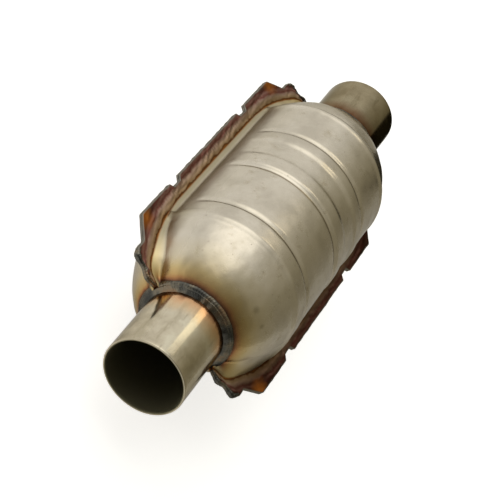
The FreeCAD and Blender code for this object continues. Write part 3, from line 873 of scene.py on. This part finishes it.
# %% Drawn tube
def tube_metal(name):
    """Steel with drawing lines, heat tint beside the weld, and soot in the bore."""
    material, tree = empty_material(name)
    place = add(tree, COORDINATES).outputs["Object"]
    along = add(tree, AXES, _0=place).outputs[0]
    cloud = add(tree, NOISE, {"Scale": 1 / (18 * MM), "Detail": 4.0, "Roughness": 0.6}, Vector=place)
    drawn = add(tree, SPREAD, {"Scale": (0.06, 1.0, 1.0)}, Vector=place)
    grain = add(tree, NOISE, {"Scale": 1 / (0.8 * MM), "Detail": 3.0, "Roughness": 0.6}, Vector=drawn)
    smear = add(tree, SPREAD, {"Scale": (0.25, 1.0, 1.0)}, Vector=place)
    streak = add(tree, NOISE, {"Scale": 1 / (6 * MM), "Detail": 4.0, "Roughness": 0.6}, Vector=smear)
    base = add(tree, RAMP, {"stops": [(0.36, "aea48e"), (0.52, "c2b8a2"), (0.66, "cdc5b0")]}, _0=cloud)
    dirt = add(tree, RANGE, {"From Min": 0.56, "From Max": 0.72, "To Max": 0.6}, Value=streak)
    base = add(tree, MIX, PAINT | {7: "84785c"}, _0=dirt, _6=base)
    smoke = add(tree, RANGE, {"From Min": 90 * MM, "From Max": 125 * MM, "To Max": 0.75}, Value=along)
    base = add(tree, MIX, TIMES | {7: "a89f8a"}, _0=smoke, _6=base)
    base = tube_tint(tree, base, along, streak)
    flat = add(tree, VECTOR, {"operation": "MULTIPLY", 1: (0.0, 1.0, 1.0)}, _0=place)
    from_axis = add(tree, VECTOR, {"operation": "LENGTH"}, _0=flat).outputs["Value"]
    sooty = add(tree, RANGE, {"From Min": (BORE + 0.9) * MM, "From Max": (BORE + 0.4) * MM}, Value=from_axis)
    base = add(tree, MIX, PAINT | {7: "7d7860"}, _0=sooty, _6=base)
    shine = add(tree, RANGE, {"To Min": 0.08, "To Max": 0.22}, Value=cloud)
    matt = add(tree, RANGE, {"To Max": 0.65}, Value=sooty)
    rough = add(tree, MATH, {"operation": "MAXIMUM"}, _0=shine, _1=matt)
    bump = add(tree, BUMP, {"Strength": 0.15, "Distance": 0.1 * MM}, Height=grain)
    surface = add(tree, SHADER, STEEL, _0=base, Roughness=rough, Normal=bump)
    add(tree, OUTPUT, Surface=surface)
    return material


drawn_tube = tube_metal("Drawn stainless tube")
print("material:", drawn_tube.name, "with", len(drawn_tube.node_tree.nodes), "nodes")

# %% [markdown]
# ### Weld metal
# The beads are dark grey with a thin oxide skin, brown in places, and with glints where the skin has
# come off a ripple. Specks 0.9 mm across set the roughness and a fine bump, so that the glints break.

# %% Weld metal
def weld_metal(name):
    """Dark oxide skin in patches, with fine specks."""
    material, tree = empty_material(name)
    place = add(tree, COORDINATES).outputs["Object"]
    patch = add(tree, NOISE, {"Scale": 1 / (9 * MM), "Detail": 3.0, "Roughness": 0.5}, Vector=place)
    speck = add(tree, NOISE, {"Scale": 1 / (0.9 * MM), "Detail": 3.0, "Roughness": 0.6}, Vector=place)
    base = add(tree, RAMP, {"stops": [(0.32, "454542"), (0.48, "5a5852"), (0.58, "777062"),
                                      (0.70, "86705a")]}, _0=patch)
    rough = add(tree, RANGE, {"To Min": 0.16, "To Max": 0.44}, Value=speck)
    bump = add(tree, BUMP, {"Strength": 0.25, "Distance": 0.2 * MM}, Height=speck)
    surface = add(tree, SHADER, STEEL, _0=base, Roughness=rough, Normal=bump)
    add(tree, OUTPUT, Surface=surface)
    return material


bead_metal = weld_metal("Weld bead with oxide skin")
print("material:", bead_metal.name, "with", len(bead_metal.node_tree.nodes), "nodes")

# %% [markdown]
# ### Ceramic and mat
# The blocks are extruded cordierite with square channels 1.3 mm apart, seen only through the pipes.
# The mat is felted fibre. Both keep their solids and get a pattern on object coordinates, because
# channels cut as geometry would cost millions of triangles that nobody sees. The channels are painted
# dark, as the shade inside them.

# %% Ceramic and mat
# half the pitch of the channels, half a wall, and where its blurred side ends
CHANNEL_HALF, WALL_HALF, WALL_BLUR = 0.65, 0.12, 0.20


def ceramic(name):
    """Thin pale walls round square channels painted dark as the shade inside them: the product of two
    ping-pong waves, on Y and Z.
    """
    material, tree = empty_material(name)
    place = add(tree, COORDINATES).outputs["Object"]
    axes = add(tree, AXES, _0=place).outputs
    open_y, open_z = [
        add(tree, RANGE, {"From Min": WALL_HALF * MM, "From Max": WALL_BLUR * MM},
            Value=add(tree, MATH, {"operation": "PINGPONG", 1: CHANNEL_HALF * MM}, _0=axes[axis]))
        for axis in (1, 2)]
    channel_shade = add(tree, MATH, {"operation": "MULTIPLY"}, _0=open_y, _1=open_z)
    # painted shade: the open channels are dark as the shade deep inside them
    base = add(tree, MIX, PAINT | {6: "8f8168", 7: "15120e"}, _0=channel_shade)
    surface = add(tree, SHADER, EDGE_TINT | {"Roughness": 0.9}, _0=base)
    add(tree, OUTPUT, Surface=surface)
    return material


def fibre(name):
    """Pale felt with hairs about half a millimetre across."""
    material, tree = empty_material(name)
    place = add(tree, COORDINATES).outputs["Object"]
    hair = add(tree, NOISE, {"Scale": 1 / (0.6 * MM), "Detail": 5.0, "Roughness": 0.7}, Vector=place)
    base = add(tree, MIX, PAINT | {6: "b9b2a0", 7: "e2ddd0"}, _0=hair)
    surface = add(tree, SHADER, EDGE_TINT | {"Roughness": 1.0}, _0=base)
    add(tree, OUTPUT, Surface=surface)
    return material


block_ceramic = ceramic("Extruded cordierite")
mat_fibre = fibre("Felted ceramic fibre")
print("materials:", block_ceramic.name, "and", mat_fibre.name)

# %% [markdown]
# ## Putting the pieces on the frame
# Each new piece rides on the part's one body and stands for its solid. The blocks and mats keep
# their solids and only change material.

# %% Pieces on the frame
def fit(item, material, slot, *nodes):
    """The piece gets its material, rides on the body and stands for its nodes."""
    item.data.materials.append(material)
    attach(item, BODY)
    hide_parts(*nodes)
    print(item.name, "stands for", *nodes)


fit(upper, pressed_sheet, "shell_steel", "upper_shell")
fit(lower, pressed_sheet, "shell_steel", "lower_shell")
fit(inlet_ring, bead_metal, "weld_metal", "inlet_weld")
fit(outlet_ring, bead_metal, "weld_metal", "outlet_weld")
fit(inlet_stub, drawn_tube, "pipe_steel", "inlet_pipe")
fit(outlet_stub, drawn_tube, "pipe_steel", "outlet_pipe")
for place, item in end_beads.items():
    fit(item, bead_metal, "weld_metal", place + "_weld")
for node, material in (("front_brick", block_ceramic), ("rear_brick", block_ceramic),
                       ("front_mat", mat_fibre), ("rear_mat", mat_fibre)):
    solid = frame["nodes"][node]
    solid.data.materials.clear()
    solid.data.materials.append(material)

# %% [markdown]
# ## Floor
# The part lies over a white sweep of paper. Paper lit by the room alone would come out grey, so it
# glows, but only for the camera and, by a share, in the metal's reflections. The share falls towards
# -Y, as painted shade that the metal mirrors on that side. The paper's own shading stays under the
# glow, so the part's shadow is kept.

# %% Floor
# half the sweep's side in metres, its gap under the part in mm, and the strength of its glow
HALF_FLOOR, GAP, GLOW = 6.0, 0.6, 0.70
# places along Y, in metres, between which the share in reflections rises
DIM_SIDE, PALE_SIDE = -0.20, 0.10
LEAST_SHARE, MOST_SHARE = 0.10, 0.75


def floor_paint():
    """White paper that glows for the camera, and in reflections by a share that falls towards -Y as painted
    shade.
    """
    material, tree = empty_material("White paper sweep")
    paper = add(tree, "ShaderNodeBsdfDiffuse", {"Color": "e6e6e6"})
    glow = add(tree, "ShaderNodeEmission", {"Strength": GLOW})
    together = add(tree, "ShaderNodeAddShader", _0=paper, _1=glow)
    path = add(tree, "ShaderNodeLightPath").outputs
    seen = add(tree, MATH, {"operation": "MAXIMUM"}, _0=path["Is Camera Ray"], _1=path["Is Transmission Ray"])
    side = add(tree, AXES, _0=add(tree, COORDINATES).outputs["Object"]).outputs[1]
    # painted shade: less glow in reflections towards -Y, mirrored by the metal on that side
    share = add(tree, RANGE, {"From Min": DIM_SIDE, "From Max": PALE_SIDE, "To Min": LEAST_SHARE,
                             "To Max": MOST_SHARE}, Value=side)
    seen = add(tree, MATH, {"operation": "MULTIPLY_ADD"}, _0=path["Is Glossy Ray"], _1=share, _2=seen)
    pick = add(tree, "ShaderNodeMixShader", _0=seen, _1=paper, _2=together)
    add(tree, OUTPUT, Surface=pick)
    return material


def stage_card(name, corners_at, material):
    """Four corners, given in metres, as one flat card of the stage."""
    mesh = bpy.data.meshes.new(name)
    mesh.from_pydata(corners_at, [], [(0, 1, 2, 3)])
    mesh.materials.append(material)
    card = bpy.data.objects.new(name, mesh)
    bpy.context.scene.collection.objects.link(card)
    print(name, "from", np.round(corners_at[0], 3), "to", np.round(corners_at[2], 3), "m")
    return card


ground = cad_box[0][2] - GAP * MM
sweep = [(-HALF_FLOOR, -HALF_FLOOR, ground), (HALF_FLOOR, -HALF_FLOOR, ground),
         (HALF_FLOOR, HALF_FLOOR, ground), (-HALF_FLOOR, HALF_FLOOR, ground)]
stage_card("white_sweep", sweep, floor_paint())

# %% [markdown]
# ## Cards for reflections
# In a studio, metal is given its form by cards that it mirrors. A dark flag stands past the outlet pipe's
# dim side, and a bright pane hangs over the outlet, where the inlet pipe mirrors it. Both are hidden
# from the camera, and throw neither light nor shadow on the part's dull places.

# %% Cards seen only in reflections
FLAG_PAINT, PANE_LIGHT, PANE_STRENGTH = "2e2a1e", "fff6e0", 1.9
# corners in millimetres
FLAG = [(165, -90, -60), (360, -90, -60), (360, -90, 80), (165, -90, 80)]
PANE = [(140, 0, 300), (220, 0, 300), (220, 110, 300), (140, 110, 300)]
for name, points, kind, settings in (
        ("dark_flag", FLAG, "ShaderNodeBsdfDiffuse", {"Color": FLAG_PAINT}),
        ("bright_pane", PANE, "ShaderNodeEmission", {"Color": PANE_LIGHT, "Strength": PANE_STRENGTH})):
    material, tree = empty_material(name)
    add(tree, OUTPUT, Surface=add(tree, kind, settings))
    card = stage_card(name, (np.array(points) * MM).tolist(), material)
    card.visible_camera = card.visible_diffuse = card.visible_shadow = False

# %% [markdown]
# ## The room
# Polished steel shows the room more than it shows light, so the light is a room painted on the
# world: a pale side towards +Y with a soft window high up in it, and a dim side towards -Y and
# behind the camera, which gives the metal its shaded band. Lamps would do the same, but a ramp round
# the pipes' axis is smooth and holds no hard edges.

# %% World
# colours of the room by the turn about the pipes' axis, from +Y over +Z, in degrees
ROOM = [(0, "fbfaf6"), (60, "fcfbf6"), (75, "e0dfd8"), (90, "c9c6b8"), (105, "b5b09e"), (120, "a09a84"),
        (135, "8c856b"), (150, "857e64"), (165, "8c8672"), (180, "a5a18e"), (210, "cac8c0"),
        (300, "cac8c0"), (330, "faf9f6"), (360, "fbfaf6")]
SMOOTH = {"interpolation_type": "SMOOTHSTEP"}
# the share of the room's light that is left behind the camera, and where along X it falls off
DIM_SHARE, DIM_FROM, DIM_TO = 0.27, -0.75, 0.05
WINDOW_TOWARD = Vector((0.12, 0.64, 0.76)).normalized()
WINDOW_OUTER, WINDOW_INNER, WINDOW_STRENGTH = math.radians(36), math.radians(10), 0.75
WHITE_IN_METAL = 0.05

world = bpy.data.worlds.new("studio")
bpy.context.scene.world = world
world.use_nodes = True
sky = world.node_tree
sky.nodes.clear()
toward = add(sky, COORDINATES).outputs["Generated"]
axes = add(sky, AXES, _0=toward).outputs
turn = add(sky, MATH, {"operation": "ARCTAN2"}, _0=axes[2], _1=axes[1])
turn = add(sky, MATH, {"operation": "DIVIDE", 1: 2 * math.pi}, _0=turn)
turn = add(sky, MATH, {"operation": "FRACT"}, _0=turn)
walls = add(sky, RAMP, {"stops": [(angle / 360, code) for angle, code in ROOM]}, _0=turn)
dimming = {"From Min": DIM_FROM, "From Max": DIM_TO, "To Min": DIM_SHARE, "To Max": 1.0}
depth = add(sky, RANGE, SMOOTH | dimming, Value=axes[0])
room = add(sky, "ShaderNodeBackground", Color=walls, Strength=depth)
aim = add(sky, VECTOR, {"operation": "DOT_PRODUCT", 1: WINDOW_TOWARD}, _0=toward).outputs["Value"]
fading = {"From Min": math.cos(WINDOW_OUTER), "From Max": math.cos(WINDOW_INNER), "To Max": WINDOW_STRENGTH}
pane = add(sky, RANGE, SMOOTH | fading, Value=aim)
window = add(sky, "ShaderNodeBackground", {"Color": "fffdf6"}, Strength=pane)
lit = add(sky, "ShaderNodeAddShader", _0=room, _1=window)
# the camera sees plain white past the floor, and reflections see a little of it
path = add(sky, "ShaderNodeLightPath").outputs
seen = add(sky, MATH, {"operation": "MAXIMUM"}, _0=path["Is Camera Ray"], _1=path["Is Transmission Ray"])
seen = add(sky, MATH, {"operation": "MULTIPLY_ADD", 1: WHITE_IN_METAL}, _0=path["Is Glossy Ray"], _2=seen)
white = add(sky, "ShaderNodeBackground", {"Color": "ffffff", "Strength": 1.0})
pick = add(sky, "ShaderNodeMixShader", _0=seen, _1=lit, _2=white)
add(sky, "ShaderNodeOutputWorld", Surface=pick)
print("world:", len(sky.nodes), "nodes")

# %% [markdown]
# ## Camera
# The part is seen from in front of the inlet and well above, with a long lens, so that the far end
# is hardly smaller than the near one. The camera's three axes are written out, because it also
# leans, and its turn is kept as a quaternion.

# %% Camera
CAMERA_AT = (-0.802, 0.259, 0.6165)
RIGHT, UP, BACK = Vector((0.41, -0.53, 0.743)), Vector((0.506, 0.809, 0.298)), Vector((-0.759, 0.253, 0.6))
SENSOR_WIDTH, FOCAL_LENGTH = 36.0, 121.46
lens = bpy.data.cameras.new("camera")
lens.sensor_width = SENSOR_WIDTH
lens.lens = FOCAL_LENGTH
camera = bpy.data.objects.new("camera", lens)
camera.rotation_mode = "QUATERNION"
camera.matrix_world = Matrix.Translation(CAMERA_AT) @ Matrix((RIGHT, UP, BACK)).transposed().to_4x4()
bpy.context.scene.collection.objects.link(camera)
bpy.context.scene.camera = camera
bpy.context.scene.view_settings.view_transform = "Standard"
print("camera at", CAMERA_AT, "with a", FOCAL_LENGTH, "mm lens")
